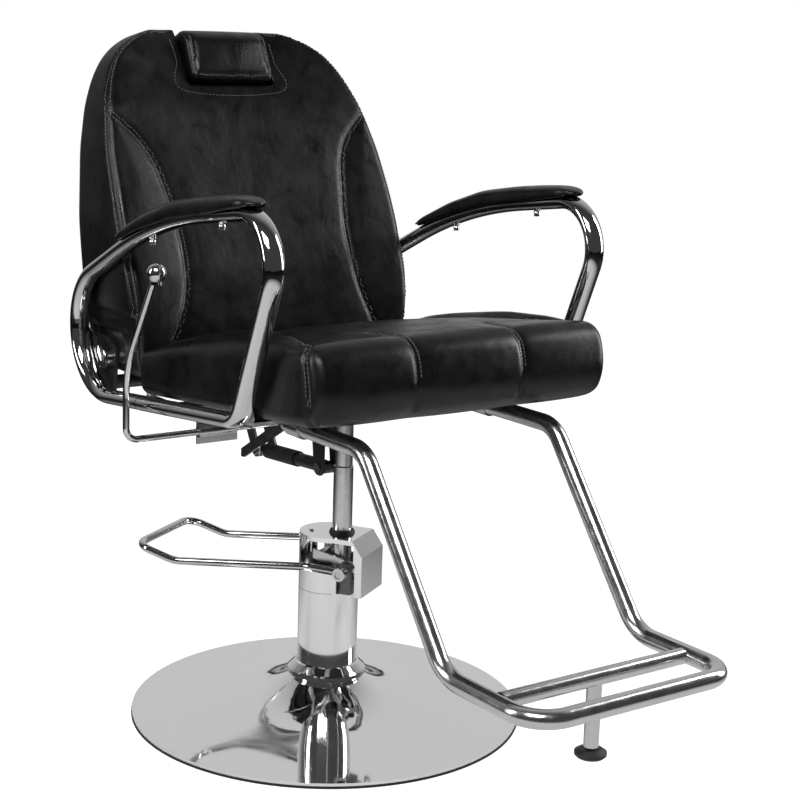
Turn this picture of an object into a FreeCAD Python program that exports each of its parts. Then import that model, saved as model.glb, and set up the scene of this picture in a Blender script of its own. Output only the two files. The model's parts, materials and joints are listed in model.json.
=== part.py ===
"""Styling chair on a round hydraulic base, with a reclining back, headrest, loop arms and footrest.

The origin is on the axis of the lifting post, at floor level.  The sitter faces -Y and +Z is up.
All lengths are millimetres.  The driving sizes are the cells of the sheet called Sizes, and each
sub-part is an object of the document whose sizes are expressions of those cells.
"""
import FreeCAD, Part
import math
import os
import re

import Sketcher

os.makedirs("parts", exist_ok=True)
doc = FreeCAD.newDocument("StylingChair")
sheet = doc.addObject("Spreadsheet::Sheet", "Sizes")
V = FreeCAD.Vector

SIZES = {
    # base and pump
    "base_radius": 300, "base_rim": 8,
    "neck_radius": 52, "neck_height": 61, "dome_wall": 2.5, "bulge_angle": -58,
    "post_offset": 20.6, "cover_radius": 46, "cover_wall": 1.5, "cover_top": 200,
    "head_top": 287, "head_half": 40, "head_front": 72, "chamfer_out": 17, "chamfer_down": 24,
    "hub_radius": 70, "hub_top": 22, "flange_top": 30, "collar_radius": 60.5, "collar_top": 82,
    "post_radius": 15, "neck_post_radius": 13.5, "post_step": 393, "post_top": 478,
    "piston_low": 82, "piston_high": 98, "cylinder_bore": 16.5, "cylinder_outer": 18.8,
    "block_low": 199.5, "block_top": 222, "ear_top": 249, "axle_out": 42.5, "axle_height": 238,
    "axle_radius": 6, "plunger_out": -10, "plunger_radius": 6, "plunger_top": 246.7,
    # pedal
    "pedal_wire": 6, "hub_half_low": 49, "hub_half_high": 60,
    # seat frame
    "plate_half": 62, "plate_low": 482, "plate_top": 488, "bar_half": 255.5, "bar_width": 40,
    "bar_thick": 4.7, "front_bar_y": -128, "front_bar_low": 508, "rear_bar_y": 120,
    "rear_bar_low": 478, "tab_height": 22, "rail_thick": 4,
    # arms
    "arm_x": 272, "arm_wide": 15.5, "arm_deep": 11, "arm_wall": 1.6, "split_y": 125,
    "pad_half": 24,
    # seat and back
    "seat_half": 247, "seat_front": -284, "seat_bottom": 535, "seat_tilt": 4.8,
    "seat_deep": 474, "seat_thick": 84, "board_thick": 12, "board_inset": 22, "board_lean": 3,
    "skin": 4, "hinge_y": 297, "hinge_z": 526, "pin_radius": 6, "hinge_arm_in": 236,
    "hinge_arm_thick": 5, "hinge_plate_in": 252, "hinge_plate_thick": 4, "hinge_room_y": 236,
    "head_lean": 24, "head_half_width": 73, "head_tall": 92, "head_low": 951, "head_y": 345,
    # recline spring
    "eye_y": 45, "eye_z": 379, "far_eye_y": 228, "far_eye_z": 367, "spring_radius": 10.5,
    # recline lever
    "lever_y": 118, "lever_z": 439, "lever_x": 304, "lever_wire": 5, "knob_radius": 14,
    # footrest
    "foot_tube": 12.5, "foot_wall": 1.5, "foot_x": 163, "foot_front": -660, "foot_level": 245,
    "cross_y": -579, "foot_post_radius": 10, "foot_post_low": 153, "foot_pad_radius": 21,
}
for row, (alias, number) in enumerate(SIZES.items(), start=1):
    sheet.set(f"A{row}", alias)
    sheet.set(f"B{row}", str(number))
    sheet.setAlias(f"B{row}", alias)
doc.recompute()


def formula(text):
    """Turn a formula in sheet aliases into a FreeCAD expression."""
    return re.sub(r"[A-Za-z_]\w*", lambda word: prefixed(word.group()), str(text))


def prefixed(word):
    return f"Sizes.{word}" if word in SIZES else word


def value(text):
    """The number that a formula in sheet aliases gives now."""
    return float(sheet.evalExpression(formula(text)))


def point(*formulas):
    return V(*[value(text) for text in formulas])


def bind(obj, **properties):
    for name, text in properties.items():
        obj.setExpression(name.replace("__", "."), formula(text))
    return obj


def place(obj, corner, axis=V(0, 0, 1), angle=0):
    """Give an object its place, bound to the sheet, and a fixed turn."""
    obj.Placement = FreeCAD.Placement(point(*corner), FreeCAD.Rotation(axis, value(angle)))
    for name, text in zip("xyz", corner):
        obj.setExpression(f"Placement.Base.{name}", formula(text))
    return obj


# ---- helpers for primitives, sketched bodies and tubes ------------------------------------

TURN_TO = {"x": (V(0, 1, 0), 90), "y": (V(1, 0, 0), -90), "z": (V(0, 0, 1), 0)}
PARTS = []


def keep(obj, label):
    obj.Label = label
    PARTS.append(obj)
    return obj


def box(name, size, corner):
    solid = doc.addObject("Part::Box", name)
    bind(solid, Length=size[0], Width=size[1], Height=size[2])
    return place(solid, corner)


def rod(name, radius, length, start, along="z"):
    """A cylinder that starts at a point and runs along an axis."""
    solid = doc.addObject("Part::Cylinder", name)
    bind(solid, Radius=radius, Height=length)
    return place(solid, start, *TURN_TO[along])


def ball(name, radius, centre):
    solid = doc.addObject("Part::Sphere", name)
    bind(solid, Radius=radius)
    return place(solid, centre)


def cut(name, base, tool):
    solid = doc.addObject("Part::Cut", name)
    solid.Base = base
    solid.Tool = tool
    return solid


def fuse(name, *shapes):
    solid = doc.addObject("Part::MultiFuse", name)
    solid.Shapes = list(shapes)
    solid.Refine = True
    return solid


def group(name, *shapes):
    """Identical separate pieces kept as one sub-part."""
    solid = doc.addObject("Part::Compound", name)
    solid.Links = list(shapes)
    return solid


def mirrored(half):
    """A closed outline from its right half, listed from bottom to top."""
    return half + [(f"-{across}", up) for across, up in reversed(half)]


def settle(obj, placement):
    """Give a finished piece its place; a primitive that the sheet already places is wrapped."""
    if obj.ExpressionEngine and hasattr(obj, "Height"):
        obj = group(obj.Name + "_placed", obj)
    obj.Placement = placement
    return obj


def origin_plane(body, role):
    return next(item for item in body.Origin.OriginFeatures if item.Role == role)


def outline(body, name, role, corners, holes=()):
    """A sketch of straight sides, each corner and hole bound to the sheet."""
    sketch = body.newObject("Sketcher::SketchObject", name)
    sketch.AttachmentSupport = [(origin_plane(body, role), "")]
    sketch.MapMode = "FlatFace"
    where = [(value(across), value(up)) for across, up in corners]
    count = len(corners)
    for number in range(count):
        start = V(*where[number], 0)
        end = V(*where[(number + 1) % count], 0)
        sketch.addGeometry(Part.LineSegment(start, end))
    for number in range(count):
        following = (number + 1) % count
        sketch.addConstraint(Sketcher.Constraint("Coincident", number, 2, following, 1))
    for number, (across, up) in enumerate(corners):
        pin(sketch, number, 1, across, up)
    for across, up, radius in holes:
        centre = V(value(across), value(up), 0)
        circle = sketch.addGeometry(Part.Circle(centre, V(0, 0, 1), value(radius)))
        pin(sketch, circle, 3, across, up)
        limit = sketch.addConstraint(Sketcher.Constraint("Radius", circle, value(radius)))
        sketch.setExpression(f"Constraints[{limit}]", formula(radius))
    return sketch


def pin(sketch, geometry, end, across, up):
    """Hold one point of a sketch at a bound distance from the sketch's origin."""
    for kind, text in (("DistanceX", across), ("DistanceY", up)):
        rule = Sketcher.Constraint(kind, -1, 1, geometry, end, value(text))
        limit = sketch.addConstraint(rule)
        sketch.setExpression(f"Constraints[{limit}]", formula(text))


def turned(name, corners):
    """A body of revolution about Z from an outline of radius and height."""
    body = doc.addObject("PartDesign::Body", name)
    sketch = outline(body, name + "_outline", "XZ_Plane", corners)
    turn = body.newObject("PartDesign::Revolution", name + "_turn")
    turn.Profile = sketch
    turn.ReferenceAxis = (sketch, ["V_Axis"])
    turn.Angle = 360
    return body


def plate(name, role, corners, thick, offset, holes=()):
    """A flat body: an outline on an origin plane, padded by its thickness."""
    body = doc.addObject("PartDesign::Body", name)
    sketch = outline(body, name + "_outline", role, corners, holes)
    sketch.setExpression("AttachmentOffset.Base.z", formula(offset))
    pad = body.newObject("PartDesign::Pad", name + "_pad")
    pad.Profile = sketch
    bind(pad, Length=thick)
    return body


def bent_path(points, radii):
    """A wire through the points, with a tangent arc of each radius at the inner ones."""
    edges = []
    last = points[0]
    for before, corner, after, radius in zip(points, points[1:], points[2:], radii):
        back = (before - corner).normalize()
        ahead = (after - corner).normalize()
        half_turn = (math.pi - back.getAngle(ahead)) / 2
        reach = radius * math.tan(half_turn)
        start = corner + back * reach
        end = corner + ahead * reach
        middle_way = (back + ahead).normalize()
        middle = corner + middle_way * (radius / math.cos(half_turn) - radius)
        edges.append(Part.LineSegment(last, start).toShape())
        edges.append(Part.Arc(start, middle, end).toShape())
        last = end
    edges.append(Part.LineSegment(last, points[-1]).toShape())
    return Part.Wire(edges)


def swept(name, path, wide, deep=None, across=None):
    """A solid swept along a path, with a round section, or an oval one of two bound radii.

    A round one is an oval whose second radius is a hair less, since an oval needs a longer side.
    """
    line = doc.addObject("Part::Feature", name + "_path")
    line.Shape = path
    section = doc.addObject("Part::Ellipse", name + "_section")
    bind(section, MajorRadius=wide, MinorRadius=deep or f"{wide} - 0.001")
    first = path.OrderedEdges[0]
    start = first.firstVertex(True).Point
    ahead = first.tangentAt(first.FirstParameter)
    wide_way = across or ahead.cross(V(0, 0, 1) if abs(ahead.z) < 0.9 else V(1, 0, 0))
    turn = FreeCAD.Rotation(wide_way, V(0, 0, 0), ahead, "ZXY")
    section.Placement = FreeCAD.Placement(start, turn)
    sweep = doc.addObject("Part::Sweep", name)
    sweep.Sections = [section]
    sweep.Spine = (line, [f"Edge{number + 1}" for number in range(len(path.Edges))])
    sweep.Solid = True
    sweep.Frenet = False
    return sweep


def tube(name, path, wall, wide, deep=None, across=None):
    """A hollow bent tube with open ends."""
    outside = swept(name + "_outside", path, wide, deep, across)
    inside_deep = f"{deep} - {wall}" if deep else None
    inside = swept(name + "_inside", path, f"{wide} - {wall}", inside_deep, across)
    return cut(name, outside, inside)


def pump_place(obj):
    """Turn a piece from pump axes (x out to the bulge) to the chair's axes."""
    turn = FreeCAD.Rotation(V(0, 0, 1), value("bulge_angle"))
    centre = turn.multVec(V(-value("post_offset"), 0, 0))
    return settle(obj, FreeCAD.Placement(centre, turn))


def pump_point(out, side, height):
    turn = FreeCAD.Rotation(V(0, 0, 1), value("bulge_angle"))
    return turn.multVec(V(out - value("post_offset"), side, height))


# ---- base ---------------------------------------------------------------------------------

def make_dome():
    """A thin shell that rises gently from the rim and ever more steeply to the neck."""
    wall = value("dome_wall")
    steps = 16
    outside = []
    for number in range(steps + 1):
        share = number / steps
        rise = 0.4 * share + 0.6 * share ** 5
        outside.append(point(f"base_radius - 1 - (base_radius - 1 - neck_radius) * {share}", 0,
                             f"base_rim + (neck_height - base_rim) * {rise}"))
    inside = [spot - V(wall, 0, wall) for spot in reversed(outside)]
    foot_inner = point("base_radius - 1 - dome_wall", 0, 3.5)
    foot_outer = point("base_radius - 1", 0, 3.5)
    upper = Part.BSplineCurve()
    upper.interpolate(outside)
    lower = Part.BSplineCurve()
    lower.interpolate(inside)
    sides = [Part.LineSegment(outside[-1], inside[0]), lower, Part.LineSegment(inside[-1], foot_inner),
             Part.LineSegment(foot_inner, foot_outer), Part.LineSegment(foot_outer, outside[0])]
    section = doc.addObject("Part::Feature", "dome_section")
    section.Shape = Part.Face(Part.Wire([side.toShape() for side in [upper] + sides]))
    shell = doc.addObject("Part::Revolution", "dome_shell")
    shell.Source = section
    shell.Axis = V(0, 0, 1)
    shell.Angle = 360
    shell.Solid = True
    return group("dome_turned", shell)


def make_base():
    weight = turned("weight_disc", [
        (0, 0), ("base_radius - 16", 0), ("base_radius - 16", 4.5), ("hub_radius + 12", 4.5),
        ("hub_radius", "hub_top"), (0, "hub_top")])
    keep(pump_place(weight), "base_weight_plate")
    trim = turned("trim_ring", [
        ("base_radius - 14", 0), ("base_radius", 0), ("base_radius", 3.2),
        ("base_radius - 14", 3.2)])
    keep(pump_place(trim), "base_edge_trim")
    keep(pump_place(make_dome()), "base_dome")
    collar = turned("collar_ring", [
        ("cover_radius + 0.3", "neck_height + 0.2"), ("collar_radius - 2", "neck_height + 0.2"),
        ("collar_radius", "neck_height + 2.5"), ("collar_radius", "neck_height + 9"),
        ("collar_radius - 2", "neck_height + 11"), ("cover_radius + 3", "collar_top - 1.5"),
        ("cover_radius + 0.3", "collar_top")])
    keep(pump_place(collar), "column_collar")
    bolts = []
    for side in range(4):
        angle = math.radians(45 + 90 * side)
        spot = pump_point(54 * math.cos(angle), 54 * math.sin(angle), value("flange_top"))
        head = doc.addObject("Part::Prism", f"base_bolt_head_{side}")
        head.Polygon = 6
        head.Circumradius = 8
        head.Height = 6
        head.Placement.Base = spot
        bolts.append(head)
    keep(group("base_bolt_set", *bolts), "base_bolts")


def make_pump():
    sleeve = turned("cover_tube", [
        ("cover_radius - cover_wall", "flange_top + 0.2"), ("cover_radius", "flange_top + 0.2"),
        ("cover_radius", "cover_top - 0.6"), ("cover_radius - cover_wall", "cover_top - 0.6")])
    keep(pump_place(sleeve), "column_cover")
    tank = turned("tank", [
        (0, "hub_top"), ("hub_radius - 4", "hub_top"), ("hub_radius - 4", "flange_top"),
        ("cover_radius - 3", "flange_top"), ("cover_radius - 3", "block_low - 0.2"),
        ("cover_radius - 6", "block_low - 0.2"), ("cover_radius - 6", "flange_top"), (0, "flange_top")])
    keep(pump_place(tank), "oil_tank")
    cylinder = turned("lift_tube", [
        ("cylinder_bore", "flange_top"), ("cylinder_outer", "flange_top"),
        ("cylinder_outer", "block_low - 0.2"), ("cylinder_bore", "block_low - 0.2")])
    keep(cylinder, "lift_cylinder")
    # valve block with two ears for the pedal axle, bored for the post and the plunger
    disc = rod("block_disc", "cover_radius - 3", "block_top - block_low", (0, 0, "block_low"))
    ears = [box(f"block_ear_{side}", (16, 8, "ear_top - block_low"),
                ("axle_out - 8", f"{side} * 28 - 4", "block_low")) for side in (-1, 1)]
    nose = box("block_nose", (24, 64, "block_top - block_low"), ("axle_out - 16", -32, "block_low"))
    solid = fuse("block_solid", disc, nose, *ears)
    bores = fuse(
        "block_bores",
        rod("post_bore", "post_radius + 0.05", 40, ("post_offset", 0, "block_low - 5")),
        rod("plunger_bore", "plunger_radius + 0.05", 40, ("plunger_out", 0, "block_low - 5")),
        rod("axle_bore", "axle_radius + 0.05", 80, ("axle_out", -40, "axle_height"), "y"))
    keep(pump_place(cut("block_bored", solid, bores)), "pump_valve_block")
    keep(make_head_cover(), "pump_head_cover")
    ring = turned("wiper", [
        ("post_radius + 0.3", "head_top + 0.1"), (20, "head_top + 0.1"), (18, "head_top + 5"),
        ("post_radius + 0.3", "head_top + 5")])
    keep(ring, "post_wiper_ring")
    screw = turned("cover_screw", [(0, "head_top"), (3.6, "head_top"), (3.2, "head_top + 2"),
                                   (0, "head_top + 2")])
    slot = box("screw_slot", (8, 1, 2), (-4, -0.5, "head_top + 1.2"))
    slotted = cut("cover_screw_slotted", screw, slot)
    slotted.Placement.Base = pump_point(-24, -14, 0)
    keep(slotted, "head_cover_screw")


def head_profile(name, shrink, low, high):
    """The head cover's solid: a round column joined to a bulge with a sloping top front."""
    column = rod(name + "_column", f"cover_radius - {shrink}", f"{high} - {low}", (0, 0, low))
    bulge = plate(name + "_bulge", "XZ_Plane", [
        (0, low), (f"head_front - {shrink}", low),
        (f"head_front - {shrink}", f"{high} - chamfer_down"),
        (f"head_front - chamfer_out - {shrink}", high), (0, high)],
        f"2 * head_half - 2 * {shrink}", f"-head_half + {shrink}")
    return fuse(name, column, bulge)


def make_head_cover():
    outside = head_profile("cover_outside", 0.001, "cover_top", "head_top")
    inside = head_profile("cover_inside", 2, "cover_top - 1", "head_top - 2")
    windows = [box(f"cover_window_{side}", (92, 30, 41), (-34, low, "axle_height + 1"))
               for side, low in (("near", -52), ("far", 22))]
    slots = [box(f"cover_notch_{side}", (30, 30, 40), ("axle_out - 12", low, "cover_top - 1"))
             for side, low in (("near", -52), ("far", 22))]
    post_hole = rod("cover_hole", "post_radius + 1.5", 30, ("post_offset", 0, "head_top - 15"))
    return pump_place(cut("cover_cut", outside, fuse("cover_tools", inside, post_hole, *windows, *slots)))


def make_plunger():
    stem = turned("plunger_stem", [
        (0, 205), ("plunger_radius", 205), ("plunger_radius", "plunger_top - 3"),
        (11, "plunger_top - 3"), (11, "plunger_top"), (0, "plunger_top")])
    stem.Placement.Base = pump_point(value("plunger_out"), 0, 0)
    keep(stem, "pump_plunger")
    pitch = 4.6
    turns = [doc.addObject("Part::Torus", f"coil_{number}") for number in range(4)]
    for number, coil in enumerate(turns):
        bind(coil, Radius1="plunger_radius + 2.6", Radius2=1.2)
        coil.Placement.Base = pump_point(value("plunger_out"), 0, value("block_top") + 2 + pitch * number)
    keep(group("plunger_coils", *turns), "plunger_spring")


def make_pedal():
    axle = rod("axle_bar", "axle_radius", "2 * hub_half_high - 3",
               ("axle_out", "-hub_half_high + 1.5", "axle_height"), "y")
    keep(pump_place(axle), "pedal_axle")
    barrels = []
    for side in (-1, 1):
        low = "hub_half_low" if side > 0 else "-hub_half_high"
        barrels.append(rod(f"hub_{side}", 10, "hub_half_high - hub_half_low",
                           ("axle_out", low, "axle_height"), "y"))
    hubs = pump_place(group("hub_pair", *barrels))
    bore = pump_place(rod("hub_bore", "axle_radius + 0.02", 140, ("axle_out", -70, "axle_height"), "y"))
    near_hub = (value("hub_half_low") + value("hub_half_high")) / 2
    wire = near_hub + 28.5
    reach = [(31.5, near_hub, 241), (2, wire, 252), (-224, wire, 228), (-290, wire, 245)]
    points = [pump_point(out, -side, up) for out, side, up in reach]
    points += [pump_point(out, side, up) for out, side, up in reversed(reach)]
    path = bent_path(points, [18, 60, 24, 24, 60, 18])
    bar = swept("pedal_bar", path, "pedal_wire")
    keep(cut("pedal_solid", fuse("pedal_welded", bar, hubs), bore), "pedal_frame")
    cheeks = [plate(f"cheek_{side}", "XZ_Plane", [
        ("axle_out + 9", "axle_height - 9"), ("axle_out + 9", "axle_height + 9"),
        ("plunger_out - 7", "axle_height + 23"), ("plunger_out - 7", "axle_height + 9"),
        ("axle_out - 12", "axle_height - 9")], 4, f"{side} * 20.5 - 2",
        [("axle_out", "axle_height", "axle_radius + 0.02"),
         ("plunger_out", "axle_height + 14", 3.5)]) for side in (-1, 1)]
    for cheek in cheeks:
        pump_place(cheek)
    keep(group("cheek_pair", *cheeks), "pedal_yoke")
    roller = rod("roller_bar", 5, 36, ("plunger_out", -18, "axle_height + 14"), "y")
    stub = rod("roller_stub", 3.45, 45, ("plunger_out", -22.5, "axle_height + 14"), "y")
    keep(pump_place(fuse("roller", roller, stub)), "plunger_roller")


# ---- post and seat frame ------------------------------------------------------------------

def make_post():
    head = turned("piston", [(0, "piston_low"), ("cylinder_bore - 0.1", "piston_low"),
                             ("cylinder_bore - 0.1", "piston_high"), (0, "piston_high")])
    keep(head, "lift_piston")
    post = turned("post", [
        (0, "piston_high + 0.3"), ("post_radius", "piston_high + 0.3"),
        ("post_radius", "post_step - 2"), ("neck_post_radius", "post_step"),
        ("neck_post_radius", "post_top"), (0, "post_top")])
    keep(post, "piston_rod")
    socket = turned("socket", [
        ("neck_post_radius + 0.05", "plate_low - 22"), ("neck_post_radius + 5", "plate_low - 22"),
        (24, "plate_low - 9"), (24, "plate_low"), ("neck_post_radius + 0.05", "plate_low")])
    keep(socket, "post_socket")


def make_seat_frame():
    keep(box("mount_plate", ("2 * plate_half + 12", 175, "plate_top - plate_low"),
             ("-plate_half - 6", -85, "plate_low")), "seat_plate")
    rails = []
    for side in (-1, 1):
        rails.append(plate(f"rail_{side}", "YZ_Plane", [
            ("front_bar_y - 20", "front_bar_low - 14"), ("front_bar_y - 20", "front_bar_low"),
            ("front_bar_y + 20", "front_bar_low"), (-60, 500), (100, 497), (140, 492),
            (140, "rear_bar_low + bar_thick"), (100, "rear_bar_low + bar_thick"),
            (88, "plate_top"), (-83, "plate_top")],
            "rail_thick", f"{side} * plate_half - rail_thick / 2"))
    keep(group("rail_pair", *rails), "seat_rails")
    for word, middle, low in (("front", "front_bar_y", "front_bar_low"),
                              ("rear", "rear_bar_y", "rear_bar_low")):
        flat = box(f"{word}_flat", ("2 * bar_half", "bar_width", "bar_thick"),
                   ("-bar_half", f"{middle} - bar_width / 2", low))
        tabs = [box(f"{word}_tab_{side}", (3, "bar_width + 16", "tab_height"),
                    (f"{side} * (bar_half - 1.5) - 1.5", f"{middle} - bar_width / 2 - 8", low))
                for side in (-1, 1)]
        keep(fuse(f"{word}_bar", flat, *tabs), f"{word}_cross_bar")


def make_spring_mount():
    ears = [plate(f"mount_ear_{side}", "YZ_Plane", [
        ("eye_y - 14", "plate_low"), ("eye_y - 12", "eye_z - 6"), ("eye_y - 5", "eye_z - 11"),
        ("eye_y + 5", "eye_z - 11"), ("eye_y + 12", "eye_z - 4"), ("eye_y + 26", "plate_low")],
        4, f"{side} * 15 - 2", [("eye_y", "eye_z", 5.05)]) for side in (-1, 1)]
    keep(group("mount_ears", *ears), "spring_clevis")
    shank = rod("clevis_shank", 5, 40, (-20, "eye_y", "eye_z"), "x")
    heads = [rod(f"clevis_head_{side}", 8, 3, (f"{side} * 18.6 - 1.5", "eye_y", "eye_z"), "x")
             for side in (-1, 1)]
    keep(fuse("clevis_pin", shank, *heads), "spring_front_pin")


def spring_rotation():
    rise = value("far_eye_z - eye_z")
    run = value("far_eye_y - eye_y")
    return FreeCAD.Rotation(V(1, 0, 0), math.degrees(math.atan2(rise, run)) - 90)


def along_spring(obj):
    """Place a piece made along +Z on the line between the two eyes of the recline spring."""
    return settle(obj, FreeCAD.Placement(point(0, "eye_y", "eye_z"), spring_rotation()))


def make_recline_spring():
    span = math.hypot(value("far_eye_y - eye_y"), value("far_eye_z - eye_z"))
    barrel = turned("barrel", [
        (0, 8), ("spring_radius", 8), ("spring_radius", 99.5), (4.55, 99.5), (4.55, 95),
        ("spring_radius - 1.7", 95), ("spring_radius - 1.7", 14), (0, 14)])
    eye = rod("barrel_eye", 9.5, 24, (-12, 0, 0), "x")
    hole = rod("barrel_hole", 5.05, 40, (-20, 0, 0), "x")
    keep(along_spring(cut("barrel_bored", fuse("barrel_solid", barrel, eye), hole)), "gas_spring_cylinder")
    stem = turned("stem", [
        (0, 85.5), ("spring_radius - 1.9", 85.5), ("spring_radius - 1.9", 93.5), (4.5, 93.5),
        (4.5, span - 6), (0, span - 6)])
    far_eye = rod("stem_eye", 9.5, 22, (-11, 0, span), "x")
    far_hole = rod("stem_hole", 4.5, 40, (-20, 0, span), "x")
    keep(along_spring(cut("stem_bored", fuse("stem_solid", stem, far_eye), far_hole)), "gas_spring_rod")
    sleeve = turned("dust_sleeve", [
        ("spring_radius + 0.6", 82.5), ("spring_radius + 2", 82.5), ("spring_radius + 2", span - 10.2),
        (4.55, span - 10.2), (4.55, span - 13), ("spring_radius + 0.6", span - 13)])
    keep(along_spring(sleeve), "gas_spring_sleeve")


# ---- arms ---------------------------------------------------------------------------------

ARM_CORNERS = [(-153, 518), (-271, 812), (72, 767), (341, 640), (341, 468.5)]
ARM_RADII = [38, 67, 900, 98, 98]
PAD_SIDE = [
    (-186, 806), (-140, 797), (-86, 785), (6, 771), (103, 745), (196, 716), (206, 722), (202, 736),
    (170, 744), (100, 774), (20, 799), (-60, 812), (-160, 821), (-192, 819), (-202, 812)]


def make_arms():
    first, last = ARM_CORNERS[0], ARM_CORNERS[-1]
    slope = (last[1] - first[1]) / (last[0] - first[0])
    split = value("split_y")
    split_height = first[1] + slope * (split - first[0])
    screws = []
    bolts = []
    for side, word in ((-1, "right"), (1, "left")):
        across = side * value("arm_x")
        points = [V(across, split - 1, split_height + slope)]
        points += [V(across, y, z) for y, z in ARM_CORNERS]
        points.append(V(across, split + 1, split_height - slope))
        path = bent_path(points, ARM_RADII)
        loop = tube(f"loop_{word}", path, "arm_wall", "arm_wide", "arm_deep", V(1, 0, 0))
        keep(loop, f"arm_tube_{word}")
        block = plate(f"pad_block_{word}", "YZ_Plane", PAD_SIDE, "2 * pad_half",
                      f"{side} * arm_x - pad_half")
        groove = swept(f"pad_groove_{word}", path, "arm_wide + 0.4", "arm_deep + 0.4", V(1, 0, 0))
        keep(cut(f"pad_{word}", block, groove), f"arm_pad_{word}")
        for number, (y, z) in enumerate(((-100, 776), (98, 733))):
            screws.append(rod(f"pad_screw_{word}_{number}", 4.5, 5, (across, y, z - 6.8), "z"))
        for number, (y, z) in enumerate(((-146, 520), (-112, 518.5), (105, 492), (135, 489))):
            head = rod(f"arm_bolt_{word}_{number}", 5.5, 4, (f"{side} * (bar_half - 5.1) - 2", y, z), "x")
            bolts.append(head)
    keep(group("pad_screw_set", *screws), "arm_pad_screws")
    keep(group("arm_bolt_set", *bolts), "arm_bolts")


# ---- hinge and back -----------------------------------------------------------------------

def make_hinges():
    brackets = []
    pins = []
    frame = [rod("cross_tube", 11, "2 * hinge_arm_in + 2", ("-hinge_arm_in - 1", 300, 487), "x")]
    for side, word in ((-1, "right"), (1, "left")):
        plate_low = "hinge_plate_in" if side > 0 else "-hinge_plate_in - hinge_plate_thick"
        brackets.append(plate(f"bracket_{word}", "YZ_Plane", [
            ("hinge_y - 13", "hinge_z - 9"), ("hinge_y - 13", "hinge_z + 9"),
            ("hinge_y - 5", "hinge_z + 15"), (324, 562), (342, 566), (326, 520),
            ("hinge_y + 6", "hinge_z - 14"), ("hinge_y - 6", "hinge_z - 14")],
            "hinge_plate_thick", plate_low, [("hinge_y", "hinge_z", "pin_radius + 0.02")]))
        pin_start = "hinge_arm_in" if side > 0 else "-hinge_plate_in - hinge_plate_thick"
        shank = rod(f"pin_{word}", "pin_radius", "hinge_plate_in + hinge_plate_thick - hinge_arm_in",
                    (pin_start, "hinge_y", "hinge_z"), "x")
        boss_start = "hinge_arm_in + hinge_arm_thick + 0.4"
        boss_long = "hinge_plate_in - hinge_arm_in - hinge_arm_thick - 0.4"
        boss = rod(f"boss_{word}", 11, boss_long,
                   (boss_start if side > 0 else "-hinge_plate_in", "hinge_y", "hinge_z"), "x")
        pins.append(fuse(f"pin_solid_{word}", shank, boss))
        arm_low = "hinge_arm_in" if side > 0 else "-hinge_arm_in - hinge_arm_thick"
        strap = plate(f"strap_{word}", "YZ_Plane", [
            (281, 512), (281, 542), (310, 556), (385, 560), (385, 520), (318, 474), (286, 474)],
            "hinge_arm_thick", arm_low, [("hinge_y", "hinge_z", "pin_radius + 0.05")])
        flange = box(f"strap_flange_{word}", (90, 5, 40),
                     ("hinge_arm_in - 89" if side > 0 else "-hinge_arm_in - 1", 380, 520))
        frame += [strap, flange]
    keep(group("bracket_pair", *brackets), "hinge_brackets")
    keep(group("pin_pair", *pins), "hinge_pins")
    keep(fuse("back_frame_solid", *frame), "back_frame")


BACK_SIDE = [
    (214, 504), (205, 560), (206, 600), (222, 655), (268, 774), (323, 909), (345, 954), (370, 1000),
    (400, 1028), (424, 1024), (424, 985), (402, 839), (392, 700), (380, 600), (368, 520), (350, 501)]


def make_cranks():
    cranks = []
    for side in (-1, 1):
        crank = plate(f"crank_{side}", "YZ_Plane", [
            (288, 494), (306, 476), ("far_eye_y + 9", "far_eye_z - 6"), ("far_eye_y + 2", "far_eye_z - 10"),
            ("far_eye_y - 7", "far_eye_z - 8"), ("far_eye_y - 10", "far_eye_z + 2")],
            4, f"{side} * 16 - 2")
        stud_low = 12 if side > 0 else -15
        stud = rod(f"crank_stud_{side}", 4.3, 3, (stud_low, "far_eye_y", "far_eye_z"), "x")
        around = rod(f"crank_gap_{side}", 11.01, 40, (-20, 300, 487), "x")
        cranks.append(cut(f"crank_cut_{side}", fuse(f"crank_solid_{side}", crank, stud), around))
    keep(group("crank_pair", *cranks), "crank_plates")


BACK_FRONT = mirrored([
    (204, 500), (236, 510), (250, 566), (254, 645), (255.5, 739), (248, 842), (236, 907),
    (220, 950), (198, 985), (165, 1010), (130, 1025), (90, 1031)])


def back_block(name, wall):
    """The backrest's solid, or with a wall its inside: a front outline crossed with a side one."""
    front = plate(name + "_front", "XZ_Plane", inset(BACK_FRONT, wall), 300, -450)
    side = plate(name + "_side", "YZ_Plane", inset(BACK_SIDE, wall), f"510 - 2 * {wall}", f"{wall} - 255")
    whole = doc.addObject("Part::Common", name + "_whole")
    whole.Base = front
    whole.Tool = side
    rooms = [box(f"{name}_hinge_room_{side}", (40, 220, 120),
                 (-275 + wall if side < 0 else 235 - wall, "hinge_room_y" + f" - {wall}", 472 + wall))
             for side in (-1, 1)]
    return cut(name, whole, group(name + "_hinge_rooms", *rooms))


def head_recess(name, grow):
    """The room for the headrest and its sleeve, in the backrest's upper front."""
    half = f"head_half_width + 3 + {grow}"
    front = box(name + "_front", (f"2 * ({half})", 60, 140), (f"-({half})", f"-{38 - grow}", -3 - grow))
    slot = box(name + "_sleeve", (46.8 + 2 * grow, 12.8 + 2 * grow, 300),
               (-23.4 - grow, 27.6 - grow, -170.4 - grow))
    top = box(name + "_top", (f"2 * ({half})", 110, 60), (f"-({half})", -38, f"head_tall - {17 + grow}"))
    throat = box(name + "_throat", (38 + 2 * grow, 12, 160), (-19 - grow, 20, -3 - grow))
    return lean_back(fuse(name, front, slot, top, throat))


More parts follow.
